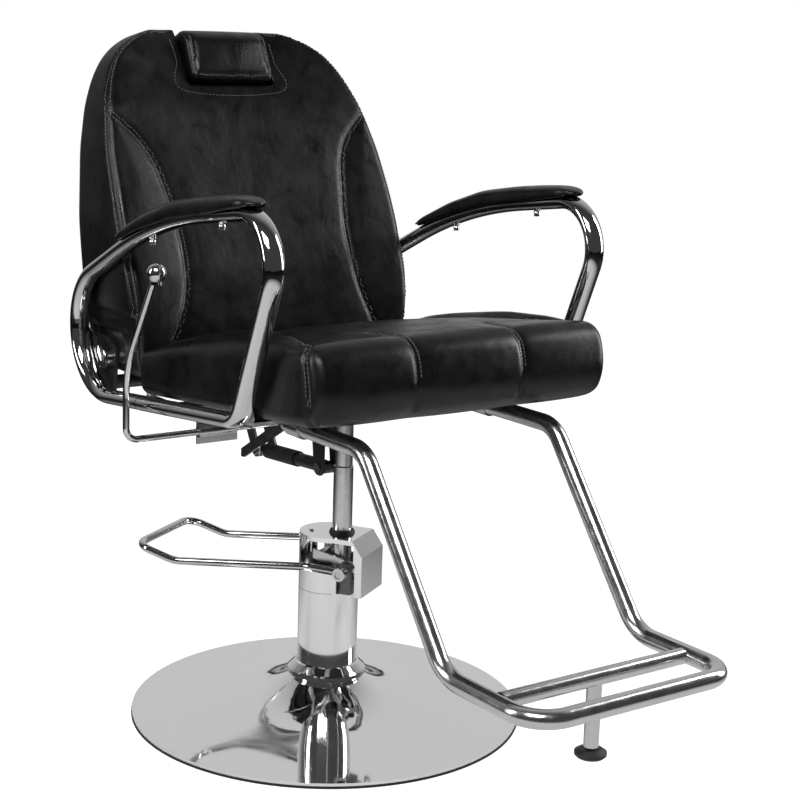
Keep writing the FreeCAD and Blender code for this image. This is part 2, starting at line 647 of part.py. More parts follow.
def make_back():
    wall = value("skin")
    hollow = cut("back_hollow", back_block("back_inside", wall), head_recess("recess_outer", wall))
    shell = cut("back_shell", back_block("back_outside", 0), hollow)
    keep(cut("back_opened", shell, head_recess("recess", 0)), "back_cover")
    room = fuse("foam_room", back_board("board_room", 0.4), head_recess("recess_foam", wall + 0.4))
    keep(cut("back_core", back_block("back_padding", wall + 0.4), room), "back_foam")
    keep(back_board("board_solid", 0), "back_board")
    screws = [rod(f"back_screw_{number}", 5, 3.5, (x, 385.1, z), "y")
              for number, (x, z) in enumerate(((-225, 540), (-175, 540), (175, 540), (225, 540)))]
    keep(group("back_screw_set", *screws), "back_arm_screws")
    sleeve = cut("sleeve_bored", box("sleeve_block", (46, 12, 110), (-23, 28, -170)),
                 box("sleeve_slot", (32.4, 5.4, 130), (-16.2, 31.3, -180)))
    keep(lean_back(sleeve), "headrest_sleeve")


def inset(corners, wall):
    """The same outline drawn in by about a wall on every side of its box."""
    if not wall:
        return corners
    spots = [(value(across), value(up)) for across, up in corners]
    middle = []
    share = []
    for axis in (0, 1):
        low = min(spot[axis] for spot in spots)
        high = max(spot[axis] for spot in spots)
        middle.append((low + high) / 2)
        share.append(1 - 2 * wall / (high - low))
    return [(f"{middle[0]} + ({across} - {middle[0]}) * {share[0]:.5f}",
             f"{middle[1]} + ({up} - {middle[1]}) * {share[1]:.5f}") for across, up in corners]


def back_board(name, extra):
    wide = box(name, (f"380 + 2 * {extra}", f"12 + 2 * {extra}", f"370 + 2 * {extra}"),
               (f"-190 - {extra}", f"350 - {extra}", f"522 - {extra}"))
    wide.Placement.Rotation = FreeCAD.Rotation(V(1, 0, 0), -value("board_lean"))
    return wide


def lean_back(obj):
    """Place a piece made upright in the headrest's own axes, which lean back with the backrest."""
    turn = FreeCAD.Rotation(V(1, 0, 0), -value("head_lean"))
    return settle(obj, FreeCAD.Placement(point(0, "head_y", "head_low"), turn))


def make_headrest():
    pillow = box("pillow", ("2 * head_half_width", 38, "head_tall"), ("-head_half_width", -20, 0))
    lip = box("pillow_lip", ("2 * head_half_width", 40, 14), ("-head_half_width", 10, "head_tall - 14"))
    keep(lean_back(fuse("pillow_solid", pillow, lip)), "headrest_cushion")
    blade = box("blade", (32, 5, 160), (-16, 31.5, -145))
    foot = box("blade_foot", (32, 18, 5), (-16, 18.3, 15))
    keep(lean_back(fuse("blade_solid", blade, foot)), "headrest_blade")


# ---- seat ---------------------------------------------------------------------------------

SEAT_SIDE = [
    (0, 0), (-18, 14), (-24, 50), (-10, 78), (10, 88), (240, "seat_thick"), ("seat_deep - 14", 78),
    ("seat_deep", 62), ("seat_deep", 14), ("seat_deep - 8", 0)]


def make_seat():
    def tilted(obj):
        turn = FreeCAD.Rotation(V(1, 0, 0), -value("seat_tilt"))
        return settle(obj, FreeCAD.Placement(point(0, "seat_front", "seat_bottom"), turn))

    def block(name, wall):
        return plate(name, "YZ_Plane", inset(SEAT_SIDE, wall), f"2 * seat_half - 2 * {wall}",
                     f"{wall} - seat_half")

    def board(name, extra):
        return box(name, (f"2 * seat_half - 2 * board_inset + 2 * {extra}",
                          f"seat_deep - 2 * board_inset + 2 * {extra}", f"board_thick + {extra}"),
                   (f"-seat_half + board_inset - {extra}", f"board_inset - {extra}", 0))

    wall = value("skin")
    hollow = cut("seat_hollow", block("seat_inside", wall), board("seat_floor", wall))
    room = fuse("seat_room", hollow, board("seat_board_room", 0.4))
    keep(tilted(cut("seat_shell", block("seat_outside", 0), room)), "seat_cover")
    core = cut("seat_core", block("seat_padding", wall + 0.4), board("seat_gap", wall + 0.4))
    keep(tilted(core), "seat_foam")
    keep(tilted(board("seat_panel", 0)), "seat_board")
    pads = []
    for side in (-1, 1):
        for number, (y, low, high) in enumerate(((-128, 512.8, 520), (120, 482.8, 499))):
            pads.append(rod(f"spacer_{side}_{number}", 12, high - low, (f"{side} * 140", y, low)))
    keep(group("spacer_set", *pads), "seat_spacers")


# ---- recline lever ------------------------------------------------------------------------

def make_lever():
    x, y, z = -value("lever_x"), value("lever_y"), value("lever_z")
    path = bent_path([V(-23, y, z), V(x, y, z), V(x, y, 545), V(x, 31, 686)], [18, 150])
    keep(swept("lever_bar", path, "lever_wire"), "recline_lever_rod")
    knob = fuse("knob", ball("knob_ball", "knob_radius", (x, 24, 697)),
                rod("knob_neck", 8, 8, (x, 24, 680.5)))
    keep(knob, "recline_lever_knob")
    keep(plate("release", "YZ_Plane", [
        ("lever_y - 8", "lever_z + 2"), ("lever_y - 5", "lever_z - 7"), (250, 353), (258, 353), (258, 366),
        ("lever_y + 8", "lever_z + 6"), ("lever_y - 2", "lever_z + 8")], 4.5, -28,
        [("lever_y", "lever_z", "lever_wire + 0.02")]), "release_bar")
    sleeve = cut("guide_bored", rod("guide", 8.5, 60, (-185, "lever_y", "lever_z"), "x"),
                 rod("guide_bore", "lever_wire + 0.06", 80, (-195, "lever_y", "lever_z"), "x"))
    keep(sleeve, "lever_sleeve")
    hanger = box("lever_plate", (70, 3, 60), (-182, "lever_y + 8.6", 417.8))
    rivets = [rod(f"rivet_{number}", 4, 3, (across, "lever_y + 6.6", 462), "y")
              for number, across in enumerate((-170, -125))]
    keep(fuse("lever_hanger", hanger, *rivets), "lever_bracket")


# ---- footrest -----------------------------------------------------------------------------

def make_footrest():
    side, level, front = value("foot_x"), value("foot_level"), value("foot_front")
    half = [(-100, 495.4), (-289, 495.4), (-481, level), (front, level)]
    radii = [48, 62, 46]
    points = [V(-side, y, z) for y, z in half] + [V(side, y, z) for y, z in reversed(half)]
    path = bent_path(points, radii + radii[::-1])
    keep(tube("footrest_tube", path, "foot_wall", "foot_tube"), "footrest_frame")
    bar = rod("tread_outer", 11, "2 * foot_x - 2 * foot_tube + 3",
              ("-foot_x + foot_tube - 1.5", "cross_y", "foot_level"), "x")
    bore = rod("tread_bore", 9.5, 400, (-200, "cross_y", "foot_level"), "x")
    ends = [rod(f"tread_gap_{word}", "foot_tube + 0.01", 200,
                (f"{word}1 * foot_x", "cross_y - 100", "foot_level"), "y") for word in ("-", "+")]
    tread = cut("tread", bar, fuse("tread_tools", bore, *ends))
    post = rod("leg_outer", "foot_post_radius", "foot_level - foot_post_low",
               (0, "cross_y", "foot_post_low"))
    leg_bore = rod("leg_bore", 5.1, 65, (0, "cross_y", "foot_post_low - 1"))
    notch = rod("leg_notch", 10.5, 60, (-30, "cross_y", "foot_level"), "x")
    leg = cut("leg", post, fuse("leg_tools", leg_bore, notch))
    keep(fuse("tread_and_leg", tread, leg), "footrest_tread")
    foot = turned("foot_knob", [
        (0, 139), ("foot_pad_radius - 3", 139), ("foot_pad_radius", 142), ("foot_pad_radius", 146),
        ("foot_pad_radius - 6", 150), (5, 150), (5, 205), (0, 205)])
    foot.Placement.Base = point(0, "cross_y", 0)
    keep(foot, "leveling_foot")
    clamps = []
    for word in ("-", "+"):
        strap = rod(f"clamp_outer_{word}", "foot_tube + 3", 34,
                    (f"{word}1 * foot_x", "front_bar_y - 17", 495.4), "y")
        flaps = box(f"clamp_flap_{word}", (56, 34, 3),
                    (f"{word}1 * foot_x - 28", "front_bar_y - 17", "front_bar_low - 3"))
        gap = rod(f"clamp_gap_{word}", "foot_tube + 0.4", 60,
                  (f"{word}1 * foot_x", "front_bar_y - 30", 495.4), "y")
        above = box(f"clamp_above_{word}", (80, 60, 20),
                    (f"{word}1 * foot_x - 40", "front_bar_y - 30", "front_bar_low"))
        clamps.append(cut(f"clamp_{word}", fuse(f"clamp_solid_{word}", strap, flaps),
                          fuse(f"clamp_tools_{word}", gap, above)))
    keep(group("clamp_pair", *clamps), "footrest_clamps")


# ---- build, test and write ----------------------------------------------------------------

for make in (make_base, make_pump, make_plunger, make_pedal, make_post, make_seat_frame,
             make_spring_mount, make_recline_spring, make_arms, make_hinges, make_cranks, make_back,
             make_headrest, make_seat, make_lever, make_footrest):
    make()
doc.recompute()

for item in doc.Objects:
    if "Invalid" in item.State or "Error" in item.State:
        raise RuntimeError(f"{item.Name} failed: {item.State}")
for item in PARTS:
    if item.Shape.isNull() or not item.Shape.isValid() or not item.Shape.Solids:
        raise RuntimeError(f"{item.Label} has no valid solid")
for item in PARTS:
    item.Shape.exportStep(f"parts/{item.Label}.step")
    print(f"{item.Label}: {len(item.Shape.Solids)} solid(s), {item.Shape.Volume / 1000:.1f} cm3")
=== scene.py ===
"""The looks of the styling chair: leather cushions, stitching, chrome and a plain pale studio."""
import json
import math

import bpy
import numpy as np
from mathutils import Matrix, Vector
from mathutils.bvhtree import BVHTree
from mathutils.kdtree import KDTree


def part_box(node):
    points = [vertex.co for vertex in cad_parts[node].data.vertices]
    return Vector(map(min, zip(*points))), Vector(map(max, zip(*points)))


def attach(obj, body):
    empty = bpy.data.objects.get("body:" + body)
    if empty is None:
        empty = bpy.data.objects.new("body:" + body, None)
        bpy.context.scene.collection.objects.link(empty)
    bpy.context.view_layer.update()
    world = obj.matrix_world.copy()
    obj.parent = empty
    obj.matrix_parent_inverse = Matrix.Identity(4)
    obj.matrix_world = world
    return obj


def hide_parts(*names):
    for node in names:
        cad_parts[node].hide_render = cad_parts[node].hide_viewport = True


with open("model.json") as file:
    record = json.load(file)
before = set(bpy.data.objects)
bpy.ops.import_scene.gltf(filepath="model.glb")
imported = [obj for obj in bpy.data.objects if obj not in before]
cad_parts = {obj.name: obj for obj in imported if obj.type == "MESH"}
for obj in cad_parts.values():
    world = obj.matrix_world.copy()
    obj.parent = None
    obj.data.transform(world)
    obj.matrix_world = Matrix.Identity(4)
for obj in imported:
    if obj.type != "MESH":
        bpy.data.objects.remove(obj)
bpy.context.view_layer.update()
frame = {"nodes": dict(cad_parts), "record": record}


# ---- materials ----------------------------------------------------------------------------

class Finish:
    """A node material with a Principled shader and short helpers to wire procedural detail."""

    def __init__(self, name, colour, roughness, **sockets):
        self.material = bpy.data.materials.new(name)
        self.material.use_nodes = True
        self.nodes = self.material.node_tree.nodes
        self.links = self.material.node_tree.links
        self.shader = self.nodes["Principled BSDF"]
        self.shader.inputs["Base Color"].default_value = (*colour, 1)
        self.shader.inputs["Roughness"].default_value = roughness
        for socket, amount in sockets.items():
            self.shader.inputs[socket.replace("_", " ")].default_value = amount
        self.height = None
        self.place = self.nodes.new("ShaderNodeTexCoord").outputs["Object"]

    def add(self, kind, **values):
        node = self.nodes.new(kind)
        for key, amount in values.items():
            if key in node.inputs:
                node.inputs[key].default_value = amount
            else:
                setattr(node, key, amount)
        return node

    def stretched(self, scale):
        mapping = self.add("ShaderNodeMapping")
        mapping.inputs["Scale"].default_value = scale
        self.links.new(self.place, mapping.inputs["Vector"])
        return mapping.outputs["Vector"]

    def noise(self, scale, detail=4, stretch=None, distortion=0.0):
        node = self.add("ShaderNodeTexNoise", Scale=scale, Detail=detail, Distortion=distortion)
        self.links.new(self.stretched(stretch) if stretch else self.place, node.inputs["Vector"])
        return node.outputs["Fac"]

    def cells(self, scale):
        node = self.add("ShaderNodeTexVoronoi", feature="DISTANCE_TO_EDGE", Scale=scale)
        self.links.new(self.place, node.inputs["Vector"])
        return node.outputs["Distance"]

    def ramp(self, source, low, high, dark, light):
        node = self.add("ShaderNodeMapRange")
        for socket, amount in (("From Min", low), ("From Max", high), ("To Min", dark), ("To Max", light)):
            node.inputs[socket].default_value = amount
        self.links.new(source, node.inputs["Value"])
        return node.outputs["Result"]

    def rough(self, source, low, high, dark, light):
        self.links.new(self.ramp(source, low, high, dark, light), self.shader.inputs["Roughness"])
        return self

    def tint(self, source, low, high, first, second):
        node = self.add("ShaderNodeMix", data_type="RGBA")
        node.inputs["A"].default_value = (*first, 1)
        node.inputs["B"].default_value = (*second, 1)
        self.links.new(self.ramp(source, low, high, 0, 1), node.inputs["Factor"])
        self.links.new(node.outputs["Result"], self.shader.inputs["Base Color"])
        return self

    def bump(self, source, strength, depth):
        node = self.add("ShaderNodeBump", Strength=strength, Distance=depth)
        self.links.new(source, node.inputs["Height"])
        if self.height:
            self.links.new(self.height, node.inputs["Normal"])
        self.height = node.outputs["Normal"]
        self.links.new(self.height, self.shader.inputs["Normal"])
        return self


def leather():
    look = Finish("black_leather", (0.004, 0.004, 0.0043), 0.36, Specular_IOR_Level=0.36)
    mottle = look.noise(17, 7, distortion=0.8)
    look.tint(mottle, 0.4, 0.72, (0.002, 0.002, 0.0022), (0.007, 0.007, 0.0074))
    look.rough(look.noise(30, 7, distortion=0.5), 0.3, 0.7, 0.26, 0.42)
    look.bump(look.noise(8, 5, (1, 1, 0.6), 1.0), 0.32, 0.006)
    look.bump(look.noise(46, 8, distortion=1.2), 0.2, 0.0016)
    look.bump(look.cells(560), 0.3, 0.0004)
    return look.material


def chrome(name, colour, roughness):
    look = Finish(name, colour, roughness, Metallic=1.0, Specular_IOR_Level=0.5)
    look.rough(look.noise(22, 5), 0.35, 0.75, roughness, roughness + 0.05)
    look.bump(look.noise(5, 2), 0.02, 0.002)
    return look.material


def brushed(name, colour, roughness):
    look = Finish(name, colour, roughness, Metallic=1.0)
    grain = look.noise(70, 5)
    look.rough(grain, 0.3, 0.7, roughness - 0.04, roughness + 0.06)
    look.tint(look.noise(12, 3), 0.3, 0.7, [c * 0.9 for c in colour], colour)
    look.bump(grain, 0.03, 0.0002)
    return look.material


def plain(name, colour, roughness, speck, depth, metallic=0.0):
    look = Finish(name, colour, roughness, Metallic=metallic)
    look.tint(look.noise(30, 5), 0.3, 0.7, [c * 0.75 for c in colour], [c * 1.2 for c in colour])
    look.rough(look.noise(80, 4), 0.3, 0.7, roughness - 0.08, roughness + 0.1)
    look.bump(look.noise(speck, 5), 0.25, depth)
    return look.material


def plywood():
    look = Finish("plywood", (0.5, 0.34, 0.19), 0.6)
    grain = look.noise(7, 8, (1, 12, 40), 1.5)
    look.tint(grain, 0.3, 0.7, (0.32, 0.2, 0.1), (0.62, 0.45, 0.27))
    look.bump(grain, 0.2, 0.0006)
    return look.material


LEATHER = leather()
MATERIALS = {
    "chrome": chrome("mirror_chrome", (0.86, 0.865, 0.875), 0.035),
    # painted shade: the arms, pedal and footrest use a darker copy of the chrome so that their reflections
    # come out darker
    "chrome_frame": chrome("shaded_tube_chrome", (0.62, 0.625, 0.635), 0.045),
    "satin_steel": brushed("satin_steel", (0.62, 0.62, 0.63), 0.2),
    "dark_steel": brushed("dark_steel", (0.16, 0.16, 0.165), 0.36),
    "painted_black": plain("painted_black", (0.015, 0.015, 0.016), 0.42, 260, 0.0003),
    "iron": plain("cast_iron", (0.06, 0.06, 0.062), 0.7, 140, 0.001, 0.6),
    "black_leather": LEATHER,
    "foam": plain("foam", (0.62, 0.56, 0.4), 0.9, 400, 0.001),
    "plywood": plywood(),
    "black_plastic": plain("black_plastic", (0.02, 0.02, 0.021), 0.5, 500, 0.0002),
    "rubber": plain("rubber", (0.014, 0.014, 0.015), 0.66, 300, 0.0003),
}
THREAD = plain("thread", (0.12, 0.12, 0.122), 0.6, 900, 0.0002)


def pale_floor():
    """White where it is seen directly; what the chrome mirrors is a painted reflection: a pale patch on a
    floor painted dark.
    """
    look = Finish("pale_floor", (0.9, 0.9, 0.9), 0.9, Specular_IOR_Level=0.0)
    seen = look.add("ShaderNodeLightPath")
    aside = look.add("ShaderNodeVectorMath", operation="SUBTRACT")
    aside.inputs[1].default_value = (-0.45, -0.6, 0)
    look.links.new(look.place, aside.inputs[0])
    reach = look.add("ShaderNodeVectorMath", operation="LENGTH")
    look.links.new(aside.outputs["Vector"], reach.inputs[0])
    # painted reflection: a pale patch near the chair on a floor painted dark, seen only by reflected and
    # bounced rays, never by the camera
    painted_reflection = look.add("ShaderNodeMix", data_type="RGBA")
    painted_reflection.inputs["A"].default_value = (0.75, 0.75, 0.75, 1)
    painted_reflection.inputs["B"].default_value = (0.03, 0.03, 0.03, 1)
    look.links.new(look.ramp(reach.outputs["Value"], 1.0, 1.8, 0, 1), painted_reflection.inputs["Factor"])
    shade = look.add("ShaderNodeMix", data_type="RGBA")
    look.links.new(painted_reflection.outputs["Result"], shade.inputs["A"])
    shade.inputs["B"].default_value = (0.3, 0.3, 0.3, 1)
    look.links.new(seen.outputs["Is Camera Ray"], shade.inputs["Factor"])
    look.links.new(shade.outputs["Result"], look.shader.inputs["Base Color"])
    look.shader.inputs["Emission Color"].default_value = (1, 1, 1, 1)
    glow = look.ramp(seen.outputs["Is Camera Ray"], 0, 1, 0, 0.95)
    look.links.new(glow, look.shader.inputs["Emission Strength"])
    return look.material


FLOOR = pale_floor()


def dress_frame():
    """Give every CAD node the material of its slot."""
    for part in frame["record"]["subparts"]:
        mesh = frame["nodes"][part["node"]].data
        mesh.materials.clear()
        mesh.materials.append(MATERIALS[part["material_slot"]])


# ---- mesh helpers -------------------------------------------------------------------------

def box_shell(half, steps):
    """Corners and faces of a box's surface, as an even lattice, without doubled corners."""
    index = {}
    places = []
    faces = []

    def corner(key):
        if key not in index:
            index[key] = len(places)
            places.append([(2 * key[a] / steps[a] - 1) * half[a] for a in range(3)])
        return index[key]

    for axis in range(3):
        first, second = [a for a in range(3) if a != axis]
        for side in (0, steps[axis]):
            for i in range(steps[first]):
                for j in range(steps[second]):
                    ring = []
                    for di, dj in ((0, 0), (1, 0), (1, 1), (0, 1)):
                        key = [0, 0, 0]
                        key[axis] = side
                        key[first] = i + di
                        key[second] = j + dj
                        ring.append(corner(tuple(key)))
                    outward = (side > 0) == (axis != 1)
                    faces.append(ring if outward else ring[::-1])
    return np.array(places), faces


def rounded(places, half, radius):
    """Round a box's edges: every corner moves onto a ball around the inner box."""
    inner = np.array(half) - radius
    core = np.clip(places, -inner, inner)
    out = places - core
    length = np.linalg.norm(out, axis=1, keepdims=True)
    return core + out / np.maximum(length, 1e-9) * radius


def mesh_piece(name, places, faces, material):
    mesh = bpy.data.meshes.new(name)
    mesh.from_pydata([tuple(p) for p in places], [], faces)
    mesh.validate()
    mesh.update()
    for face in mesh.polygons:
        face.use_smooth = True
    mesh.materials.append(material)
    piece = bpy.data.objects.new(name, mesh)
    bpy.context.scene.collection.objects.link(piece)
    return piece


def vertices_of(piece):
    spots = np.empty(len(piece.data.vertices) * 3)
    piece.data.vertices.foreach_get("co", spots)
    return spots.reshape(-1, 3)


def normals_of(piece):
    piece.data.update()
    ways = np.empty(len(piece.data.vertices) * 3)
    piece.data.vertex_normals.foreach_get("vector", ways)
    return ways.reshape(-1, 3)


def set_vertices(piece, spots):
    piece.data.vertices.foreach_set("co", spots.ravel())
    piece.data.update()


CURVE_STEP = 0.002


def smooth_curve(points):
    """Evenly spaced points on a smooth curve through the given points."""
    points = np.array(points, float)
    ends = np.vstack([2 * points[0] - points[1], points, 2 * points[-1] - points[-2]])
    dense = []
    for a, b, c, d in zip(ends, ends[1:], ends[2:], ends[3:]):
        for share in np.linspace(0, 1, 40, endpoint=False):
            dense.append(0.5 * ((2 * b) + (c - a) * share + (2 * a - 5 * b + 4 * c - d) * share ** 2
                                + (3 * b - a - 3 * c + d) * share ** 3))
    dense.append(points[-1])
    dense = np.array(dense)
    run = np.concatenate([[0], np.cumsum(np.linalg.norm(np.diff(dense, axis=0), axis=1))])
    wanted = np.arange(0, run[-1], CURVE_STEP)
    return np.stack([np.interp(wanted, run, dense[:, a]) for a in range(3)], axis=1)


def distance_to(curves, spots):
    """How far each spot is from the nearest of the curves."""
    points = np.vstack(curves)
    tree = KDTree(len(points))
    for number, spot in enumerate(points):
        tree.insert(spot, number)
    tree.balance()
    return np.array([tree.find(spot)[2] for spot in spots])


def surface_of(piece):
    return BVHTree.FromPolygons([v.co for v in piece.data.vertices],
                                [tuple(p.vertices) for p in piece.data.polygons])


def on_surface(surface, curve):
    """A curve's points moved onto a surface, with the surface's directions there."""
    spots = []
    ways = []
    for point in curve:
        spot, way, _, _ = surface.find_nearest(Vector(point))
        spots.append(spot)
        ways.append(way)
    return spots, ways


def press_seams(piece, curves, puff, reach, depth, width):
    """Swell the leather between its seams and draw it in along them."""
    spots = vertices_of(piece)
    gap = distance_to(curves, spots)
    lift = puff * (1 - np.exp(-gap / reach)) - depth * np.exp(-(gap / width) ** 2)
    set_vertices(piece, spots + normals_of(piece) * lift[:, None])


STITCH, STITCH_PITCH, STITCH_ASIDE, THREAD_RADIUS = 0.0046, 0.0064, 0.0045, 0.0007


def stitch_row(surface, curve, aside, low=0.0):
    """Places of the stitches that run beside a seam: middle, run direction and surface normal."""
    spots, ways = on_surface(surface, curve)
    every = round(STITCH_PITCH / CURVE_STEP)
    rows = []
    for number in range(int(low * len(spots)) + 2, len(spots) - 2, every):
        run = (spots[number + 1] - spots[number - 1]).normalized()
        side = run.cross(ways[number]).normalized()
        spot, way, _, _ = surface.find_nearest(spots[number] + side * aside)
        rows.append((spot, run, way))
    return rows


def stitches(name, rows):
    """All the stitches of one cushion, each a short rounded thread half sunk in the leather."""
    rings = 5
    around = 8
    base = []
    for ring in range(rings):
        angle = math.pi * (ring + 0.5) / rings
        for turn in range(around):
            swing = 2 * math.pi * turn / around
            thick = math.sin(angle) ** 0.5 * THREAD_RADIUS
            base.append((-math.cos(angle) * STITCH / 2, thick * math.cos(swing), thick * math.sin(swing)))
    base = np.array(base)
    body = [(r * around + t, r * around + (t + 1) % around, (r + 1) * around + (t + 1) % around,
             (r + 1) * around + t) for r in range(rings - 1) for t in range(around)]
    caps = [tuple(reversed(range(around))), tuple((rings - 1) * around + t for t in range(around))]
    places = []
    faces = []
    for spot, run, way in rows:
        side = way.cross(run).normalized()
        up = run.cross(side).normalized()
        turn = np.array([run, side, up])
        start = len(places)
        places.extend(base @ turn + np.array(spot) + np.array(up) * THREAD_RADIUS * 0.35)
        faces.extend(tuple(start + corner for corner in face) for face in body + caps)
    return mesh_piece(name, places, faces, THREAD)


STUFFING_PRESSURE = 4.0
STUFFING_FRAMES = 14
STUFFING_CAP = 0.006


def stuffed(piece, free):
    """Blow a closed leather form up like a stuffed cushion; free says how much each vertex may move."""
    before = vertices_of(piece)
    hold = piece.vertex_groups.new(name="hold")
    for number, share in enumerate(free):
        hold.add([number], float(1 - share), "REPLACE")
    cloth = piece.modifiers.new("cloth", "CLOTH")
    cloth.settings.use_pressure = True
    cloth.settings.uniform_pressure_force = STUFFING_PRESSURE
    cloth.settings.effector_weights.gravity = 0
    cloth.settings.vertex_group_mass = "hold"
    cloth.settings.tension_stiffness = 30
    cloth.settings.compression_stiffness = 30
    cloth.settings.bending_stiffness = 2
    cloth.settings.quality = 5
    scene = bpy.context.scene
    for number in range(1, STUFFING_FRAMES + 1):
        scene.frame_set(number)
    shape = piece.evaluated_get(bpy.context.evaluated_depsgraph_get())
    after = np.empty(len(before) * 3)
    shape.data.vertices.foreach_get("co", after)
    moved = after.reshape(-1, 3) - before
    length = np.linalg.norm(moved, axis=1, keepdims=True)
    moved *= np.minimum(1, STUFFING_CAP / np.maximum(length, 1e-9))
    piece.modifiers.remove(cloth)
    piece.vertex_groups.remove(hold)
    scene.frame_set(1)
    set_vertices(piece, before + moved)


def subdivide(piece):
    modifier = piece.modifiers.new("smooth", "SUBSURF")
    modifier.levels = 1
    modifier.render_levels = 1


# ---- seat cushion -------------------------------------------------------------------------

SEAT_TILT = math.radians(4.8)
SEAT_LOW, SEAT_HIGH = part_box("seat_cover")
SEAT_HALF = SEAT_HIGH[0]
SEAT_ORIGIN = Vector((0, -0.284, 0.535))
SEAT_DEEP, SEAT_THICK = 0.474, 0.085
DART_X = 0.09


def seat_to_world(spots):
    """From seat axes (x across, y back from the front edge, z up from the board) to the chair's."""
    turn = np.array(Matrix.Rotation(-SEAT_TILT, 3, "X"))
    return np.asarray(spots) @ turn.T + np.array(SEAT_ORIGIN)


def seat_seams():
    rows = {}
    for side in (-1, 1):
        rows[f"dart{side}"] = [(side * DART_X, -0.022, 0.004), (side * DART_X, -0.03, 0.045),
                               (side * DART_X, -0.02, 0.096), (side * (DART_X + 0.002), 0.02, 0.115),
                               (side * (DART_X + 0.012), 0.075, 0.115)]
        edge = SEAT_HALF - 0.008
        rows[f"corner{side}"] = [(side * edge, 0.004, 0.0), (side * (edge + 0.006), 0.002, 0.04),
                                 (side * edge, 0.01, 0.095), (side * 0.236, 0.03, 0.115)]
        rows[f"lens{side}"] = [(side * 0.236, 0.03, 0.115), (side * 0.205, 0.09, 0.11),
                               (side * 0.174, 0.19, 0.1), (side * 0.166, 0.3, 0.1), (side * 0.185, 0.4, 0.1),
                               (side * 0.225, 0.462, 0.08)]
    return {name: smooth_curve(points) for name, points in rows.items()}


def seat_shape():
    half = (SEAT_HALF - 0.001, SEAT_DEEP / 2, SEAT_THICK / 2)
    places, faces = box_shell(half, (124, 118, 22))
    spots = rounded(places, half, 0.016)
    across = spots[:, 0] / half[0]
    back = spots[:, 1] / half[1]
    up = spots[:, 2] / half[2]
    front = np.clip(-back, 0, 1) ** 5
    spots[:, 1] -= front * (0.022 * (1 - 0.9 * (up - 0.1) ** 2) + 0.004 * (1 - across ** 2))
    spots[:, 0] *= 1 - 0.012 * (1 - back ** 2) * (1 - 0.5 * (1 - up ** 2))
    top = np.clip(up, 0, 1)
    spots[:, 2] += top * 0.012 * (1 - across ** 2) * (1 - back ** 2)
    spots[:, 2] -= top * 0.006 * np.clip(back, 0, 1) ** 2
    spots[:, 1] += half[1]
    spots[:, 2] += half[2]
    # thick at the front, thin at the rear, with a lip that hangs over the board's edge
    spots[:, 2] += top * np.interp(spots[:, 1], [0.0, 0.15, 0.3, 0.45], [0.018, 0.01, -0.004, -0.02])
    rim = np.minimum(SEAT_HALF - np.abs(spots[:, 0]), spots[:, 1])
    spots[:, 2] -= 0.006 * np.clip(-up, 0, 1) * np.clip(1 - rim / 0.03, 0, 1)
    # raised lens-shaped bolster along each side, bounded by its curved seam
    lens_x = np.interp(spots[:, 1], [0.0, 0.03, 0.09, 0.19, 0.3, 0.4, 0.462],
                       [0.245, 0.232, 0.203, 0.172, 0.165, 0.185, 0.225])
    rise = np.clip((np.abs(spots[:, 0]) - lens_x) / 0.025, 0, 1)
    rise = rise * rise * (3 - 2 * rise)
    edge = np.clip((SEAT_HALF - np.abs(spots[:, 0])) / 0.04, 0, 1)
    ends = np.clip(spots[:, 1] / 0.09, 0, 1) * np.clip((SEAT_DEEP - spots[:, 1]) / 0.06, 0, 1)
    spots[:, 2] += 0.01 * top * rise * edge * ends
    return spots, faces


def make_seat():
    spots, faces = seat_shape()
    seat = mesh_piece("seat_cushion", spots, faces, LEATHER)
    seams = seat_seams()
    surface = surface_of(seat)
    seams = {name: np.array([tuple(p) for p in on_surface(surface, curve)[0]])
             for name, curve in seams.items()}
    gap = distance_to(list(seams.values()), spots)
    resting = np.clip(spots[:, 2] / 0.02, 0, 1)
    stuffed(seat, np.clip(gap / 0.03, 0, 1) * resting * 0.8)
    press_seams(seat, list(seams.values()), 0.0035, 0.02, 0.0026, 0.004)
    surface = surface_of(seat)
    rows = []
    for name, curve in seams.items():
        if name.startswith("lens"):
            rows += stitch_row(surface, curve, STITCH_ASIDE)
        else:
            low = 0.25 if name.startswith("dart") else 0.2
            rows += stitch_row(surface, curve, STITCH_ASIDE, low)
            rows += stitch_row(surface, curve, -STITCH_ASIDE, low)
    thread = stitches("seat_stitching", rows)
    for piece in (seat, thread):
        set_vertices(piece, seat_to_world(vertices_of(piece)))
        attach(piece, "chair")
    subdivide(seat)
    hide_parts("seat_cover", "seat_foam")


# ---- backrest -----------------------------------------------------------------------------

BACK_LOW, BACK_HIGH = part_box("back_cover")
HEIGHTS = [0.500, 0.510, 0.566, 0.645, 0.739, 0.842, 0.907, 0.950, 0.985, 1.010, 1.025, 1.031]
WIDTHS = [0.212, 0.234, 0.2485, 0.2535, 0.255, 0.248, 0.235, 0.219, 0.197, 0.165, 0.130, 0.095]
FRONT_Z = [0.500, 0.560, 0.600, 0.655, 0.774, 0.909, 0.954, 1.000, 1.031]
FRONT_Y = [0.204, 0.190, 0.188, 0.200, 0.250, 0.317, 0.345, 0.372, 0.400]
REAR_Z = [0.500, 0.520, 0.600, 0.700, 0.839, 0.985, 1.020, 1.031]
REAR_Y = [0.352, 0.366, 0.379, 0.391, 0.401, 0.421, 0.422, 0.416]


def back_front(height, across):
    """How far back the leather's front lies; the middle is dished between the side bolsters."""
    dish = 0.017 * (1 - across ** 2) * np.clip((height - 0.5) / 0.1, 0.2, 1)
    return np.interp(height, FRONT_Z, FRONT_Y) + dish


def eased(values, known, results):
    """Interpolation with its corners rounded off by averaging over a short stretch."""
    shifts = np.linspace(-0.014, 0.014, 7)
    return sum(np.interp(values + shift, known, results) for shift in shifts) / len(shifts)


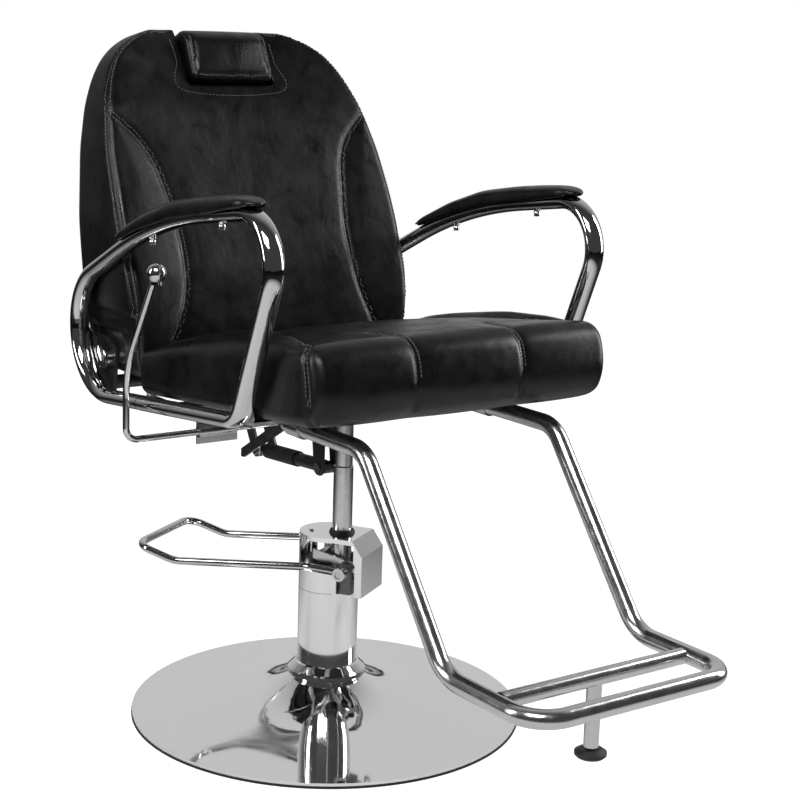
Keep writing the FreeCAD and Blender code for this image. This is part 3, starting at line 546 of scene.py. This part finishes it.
def back_shape():
    half = (0.252, 0.07, (BACK_HIGH[2] - BACK_LOW[2]) / 2 - 0.003)
    places, faces = box_shell(half, (126, 32, 132))
    spots = rounded(places, half, 0.014)
    across = spots[:, 0] / half[0]
    deep = spots[:, 1] / half[1]
    height = spots[:, 2] + (BACK_HIGH[2] + BACK_LOW[2]) / 2
    wide = eased(height, HEIGHTS, WIDTHS)
    front = eased(height, FRONT_Z, FRONT_Y)
    front += 0.016 * (1 - across ** 2) * np.clip((height - 0.5) / 0.1, 0.2, 1)
    rear = eased(height, REAR_Z, REAR_Y)
    rear -= 0.012 * across ** 4
    spots[:, 0] = across * wide
    spots[:, 1] = front + (rear - front) * (deep + 1) / 2
    spots[:, 2] = height
    # the lower sides are drawn in, and further where the hinges are
    hinged = np.clip((spots[:, 1] - 0.226) / 0.01, 0, 1) * np.clip((0.355 - spots[:, 1]) / 0.01, 0, 1)
    limit = 0.262 - 0.0175 * np.clip((0.622 - height) / 0.02, 0, 1)
    limit -= 0.011 * hinged * np.clip((0.585 - height) / 0.014, 0, 1)
    spots[:, 0] = np.clip(spots[:, 0], -limit, limit)
    return spots, faces, deep


def back_seams():
    """Inner bolster seams and the edge seams between the front panel and the side band."""
    rows = {}
    inner = [(0.237, 0.905), (0.211, 0.882), (0.187, 0.857), (0.171, 0.825), (0.162, 0.785), (0.154, 0.74),
             (0.152, 0.69), (0.160, 0.627), (0.186, 0.562), (0.196, 0.52)]
    for side in (-1, 1):
        rows[f"inner{side}"] = [(side * x, float(back_front(z, x / 0.25)), z) for x, z in inner]
        edge = [(0.232, 0.515), (0.246, 0.560), (0.251, 0.651), (0.253, 0.739), (0.246, 0.842),
                (0.233, 0.907), (0.217, 0.950), (0.195, 0.985), (0.164, 1.008), (0.13, 1.022), (0.092, 1.028)]
        rows[f"edge{side}"] = [(side * x, float(np.interp(z, FRONT_Z, FRONT_Y)) + 0.006, z) for x, z in edge]
    return {name: smooth_curve(points) for name, points in rows.items()}


HEAD_LEAN = math.radians(24)
HEAD_ORIGIN = Vector((0, 0.345, 0.951))
HEAD_HALF, HEAD_TALL = 0.073, 0.092
RECESS_FLOOR = 0.0225


def head_axes(spots):
    """From the chair's axes to the headrest's own, which lean back with the backrest."""
    turn = np.array(Matrix.Rotation(HEAD_LEAN, 3, "X"))
    return (np.asarray(spots) - np.array(HEAD_ORIGIN)) @ turn.T


def head_to_world(spots):
    turn = np.array(Matrix.Rotation(-HEAD_LEAN, 3, "X"))
    return np.asarray(spots) @ turn.T + np.array(HEAD_ORIGIN)


def press_recess(spots):
    """Push the backrest's leather in where the headrest sits."""
    local = head_axes(spots)
    wall, sill = HEAD_HALF + 0.0022, -0.0015
    gap = np.abs(local[:, 0]) - wall
    near = (gap > -0.0022) & (gap < 0.0038) & (local[:, 2] > -0.02)
    snapped = np.where(gap < 0.0012, wall, wall + 0.0032)
    local[:, 0] = np.where(near, np.sign(local[:, 0]) * snapped, local[:, 0])
    room = (np.abs(local[:, 0]) < wall + 0.001) & (local[:, 2] > sill)
    local[:, 1] = np.where(room, np.maximum(local[:, 1], RECESS_FLOOR), local[:, 1])
    low_top = HEAD_TALL - 0.021
    local[:, 2] = np.where(room & (local[:, 2] > low_top), low_top, local[:, 2])
    return head_to_world(local)


def make_back():
    spots, faces, deep = back_shape()
    back = mesh_piece("back_cushion", spots, faces, LEATHER)
    surface = surface_of(back)
    seams = {name: np.array([tuple(p) for p in on_surface(surface, curve)[0]])
             for name, curve in back_seams().items()}
    gap = distance_to(list(seams.values()), spots)
    away = np.clip((1 - deep) / 0.4, 0, 1)
    stuffed(back, np.clip(gap / 0.03, 0, 1) * away * 0.8)
    press_seams(back, list(seams.values()), 0.003, 0.02, 0.0026, 0.004)
    set_vertices(back, press_recess(vertices_of(back)))
    surface = surface_of(back)
    rows = []
    for curve in seams.values():
        rows += stitch_row(surface, curve, STITCH_ASIDE) + stitch_row(surface, curve, -STITCH_ASIDE)
    rim_half = HEAD_HALF + 0.013
    rim = [(side * rim_half, -0.02, height) for side, height in
           ((-1, 0.085), (-1, 0.04), (-1, -0.012), (1, -0.012), (1, 0.04), (1, 0.085))]
    rows += stitch_row(surface, smooth_curve(head_to_world(rim)), 0.002)
    thread = stitches("back_stitching", rows)
    for piece in (back, thread):
        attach(piece, "back")
    subdivide(back)
    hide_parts("back_cover", "back_foam")


# ---- headrest -----------------------------------------------------------------------------

def make_headrest():
    tall = HEAD_TALL - 0.003
    half = (HEAD_HALF - 0.0005, 0.014, tall / 2)
    places, faces = box_shell(half, (50, 16, 34))
    spots = rounded(places, half, 0.01)
    across = spots[:, 0] / half[0]
    up = spots[:, 2] / half[2]
    crown = 0.004 * (1 - across ** 2) * (1 - up ** 2)
    spots[:, 1] += np.where(spots[:, 1] < 0, -crown, 0)
    spots[:, 2] += half[2]
    # the top rolls back over the backrest's upper edge
    roll = np.clip((spots[:, 2] - tall * 0.66) / (tall * 0.34), 0, 1)
    lip = np.clip((spots[:, 2] - 0.0725) / 0.006, 0, 1)
    spots[:, 1] += np.where(spots[:, 1] < 0, 0.02 * roll ** 2, 0.042 * lip) + 0.006
    pillow = mesh_piece("headrest_cushion_skin", spots, faces, LEATHER)
    frame_row = [(side * (HEAD_HALF - 0.008), -0.024, z) for side, z in
                 ((-1, 0.088), (-1, 0.05), (-1, 0.009), (1, 0.009), (1, 0.05), (1, 0.088))]
    surface = surface_of(pillow)
    seam = np.array([tuple(p) for p in on_surface(surface, smooth_curve(frame_row))[0]])
    press_seams(pillow, [seam], 0.0015, 0.012, 0.0016, 0.003)
    surface = surface_of(pillow)
    thread = stitches("headrest_stitching", stitch_row(surface, seam, 0.004))
    for piece in (pillow, thread):
        set_vertices(piece, head_to_world(vertices_of(piece)))
        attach(piece, "headrest")
    subdivide(pillow)
    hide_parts("headrest_cushion")


# ---- arm pads -----------------------------------------------------------------------------

PAD_LOW = [(-0.200, 0.8075), (-0.186, 0.8055), (-0.140, 0.797), (-0.086, 0.785), (0.006, 0.771),
           (0.103, 0.745), (0.196, 0.716), (0.204, 0.722)]
PAD_TOP = [(-0.200, 0.8135), (-0.192, 0.8185), (-0.160, 0.821), (-0.110, 0.817), (-0.060, 0.811),
           (0.020, 0.798), (0.100, 0.773), (0.170, 0.743), (0.196, 0.731), (0.204, 0.727)]


def make_arm_pad(word):
    """A slender pad lofted from rounded sections, with skirts either side of the tube."""
    low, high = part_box(f"arm_pad_{word}")
    middle_x = (low[0] + high[0]) / 2
    half = (high[0] - low[0]) / 2 - 0.0005
    front, rear = low[1] + 0.009, high[1] - 0.004
    stations, around = 90, 48
    places = []
    for number in range(stations + 1):
        share = 0.5 - 0.5 * math.cos(math.pi * number / stations)
        y = front + (rear - front) * share
        under = float(eased(np.array([y]), *zip(*PAD_LOW))[0])
        top = float(eased(np.array([y]), *zip(*PAD_TOP))[0])
        tip = min(1, (y - front + 0.0004) / 0.034, (rear - y + 0.0004) / 0.04)
        nose = math.sqrt(1 - (1 - tip) ** 2)
        wide = half * nose * float(np.interp(share, [0, 0.12, 0.3, 0.7, 1], [1, 1, 0.95, 0.93, 0.85]))
        middle = (under + top) / 2
        tall = (top - under) / 2 * (0.35 + 0.65 * nose)
        for turn in range(around):
            angle = 2 * math.pi * turn / around
            c, s = math.cos(angle), math.sin(angle)
            x = wide * math.copysign(abs(c) ** 0.62, c)
            z = tall * math.copysign(abs(s) ** (0.85 if s > 0 else 0.6), s)
            if s < 0:
                z += 1.4 * tall * max(0, 1 - (x / 0.0175) ** 2) ** 0.5 * (1 if y > -0.16 else 0.4)
            places.append((middle_x + x, y, middle + z))
    faces = [(a * around + t, a * around + (t + 1) % around, (a + 1) * around + (t + 1) % around,
              (a + 1) * around + t) for a in range(stations) for t in range(around)]
    faces += [tuple(reversed(range(around))), tuple(stations * around + t for t in range(around))]
    pad = mesh_piece(f"arm_pad_{word}_skin", places, [face[::-1] for face in faces], LEATHER)
    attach(pad, "chair")
    subdivide(pad)
    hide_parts(f"arm_pad_{word}")


def make_screw_collars():
    """Waisted collars that fill the gap between the arm tubes and the heads of the pad screws."""
    profile = [(0.0, 0.0), (0.0052, 0.0), (0.0055, 0.0006), (0.0047, 0.0014), (0.0046, 0.0044),
               (0.0056, 0.0052), (0.0056, 0.0068), (0.0, 0.0068)]
    around = 28
    places = []
    faces = []
    arm_x = 0.272
    for x in (-arm_x, arm_x):
        for y, low in ((-0.1, 0.7738), (0.098, 0.7308)):
            start = len(places)
            for radius, height in profile:
                for turn in range(around):
                    angle = 2 * math.pi * turn / around
                    places.append((x + radius * math.cos(angle), y + radius * math.sin(angle), low + height))
            faces += [(start + r * around + t, start + r * around + (t + 1) % around,
                       start + (r + 1) * around + (t + 1) % around, start + (r + 1) * around + t)
                      for r in range(len(profile) - 1) for t in range(around)]
    collars = mesh_piece("pad_screw_collars", places, faces, MATERIALS["chrome"])
    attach(collars, "chair")


# ---- studio -------------------------------------------------------------------------------

def make_floor():
    just_below = -0.0006
    bpy.ops.mesh.primitive_plane_add(size=14, location=(0, 0, just_below))
    floor = bpy.context.object
    floor.name = "floor"
    floor.data.materials.append(FLOOR)


def make_world():
    """White behind the chair when seen directly; mirrored, a bright backdrop in a dark room."""
    world = bpy.data.worlds.new("studio")
    bpy.context.scene.world = world
    world.use_nodes = True
    nodes, links = world.node_tree.nodes, world.node_tree.links
    background = nodes["Background"]
    where = nodes.new("ShaderNodeTexCoord")
    facing = nodes.new("ShaderNodeVectorMath")
    facing.operation = "DOT_PRODUCT"
    facing.inputs[1].default_value = (0.53, 0.75, 0.4)
    links.new(where.outputs["Generated"], facing.inputs[0])
    bands = nodes.new("ShaderNodeValToRGB")
    links.new(facing.outputs["Value"], bands.inputs["Fac"])
    stops = [(0.0, 0.06), (0.35, 0.05), (0.55, 0.2), (0.75, 0.4), (0.95, 0.6)]
    while len(bands.color_ramp.elements) < len(stops):
        bands.color_ramp.elements.new(0.5)
    for element, (spot, light) in zip(bands.color_ramp.elements, stops):
        element.position = spot
        element.color = (light, light, light, 1)
    seen = nodes.new("ShaderNodeLightPath")
    mix = nodes.new("ShaderNodeMix")
    mix.data_type = "RGBA"
    mix.inputs["B"].default_value = (1, 1, 1, 1)
    links.new(bands.outputs["Color"], mix.inputs["A"])
    links.new(seen.outputs["Is Camera Ray"], mix.inputs["Factor"])
    links.new(mix.outputs["Result"], background.inputs["Color"])


def make_light(name, place, target, size, power):
    lamp = bpy.data.lights.new(name, "AREA")
    lamp.shape = "RECTANGLE"
    lamp.size, lamp.size_y = size
    lamp.energy = power
    light = bpy.data.objects.new(name, lamp)
    light.location = place
    light.rotation_euler = (Vector(target) - Vector(place)).to_track_quat("-Z", "Y").to_euler()
    bpy.context.scene.collection.objects.link(light)


def make_camera():
    """The view from the chair's front right, a little above the arms, with a long lens."""
    yaw, pitch, roll = math.radians(35.82), math.radians(11.93), math.radians(1.87)
    ahead = Vector((math.sin(yaw) * math.cos(pitch), math.cos(yaw) * math.cos(pitch), -math.sin(pitch)))
    right = Vector((math.cos(yaw), -math.sin(yaw), 0))
    up = right.cross(ahead)
    turned_right = right * math.cos(roll) + up * math.sin(roll)
    turned_up = up * math.cos(roll) - right * math.sin(roll)
    lens = bpy.data.cameras.new("camera")
    lens.sensor_width = 36
    lens.lens = 77.535
    camera = bpy.data.objects.new("camera", lens)
    camera.matrix_world = Matrix((turned_right, turned_up, -ahead)).transposed().to_4x4()
    camera.location = (-1.412, -2.096, 1.029)
    bpy.context.scene.collection.objects.link(camera)
    bpy.context.scene.camera = camera


dress_frame()
make_seat()
make_back()
make_headrest()
make_arm_pad("right")
make_arm_pad("left")
make_screw_collars()
make_floor()
make_world()
make_light("key", (-1.8, -1.6, 2.9), (0, 0, 0.6), (1.8, 1.2), 75)
make_light("side", (2.4, -0.9, 1.5), (0, 0, 0.6), (0.7, 2.2), 45)
make_light("left", (-2.7, 0.9, 1.6), (0, 0, 0.6), (0.5, 2.0), 30)
make_camera()
bpy.context.scene.view_settings.view_transform = "Standard"
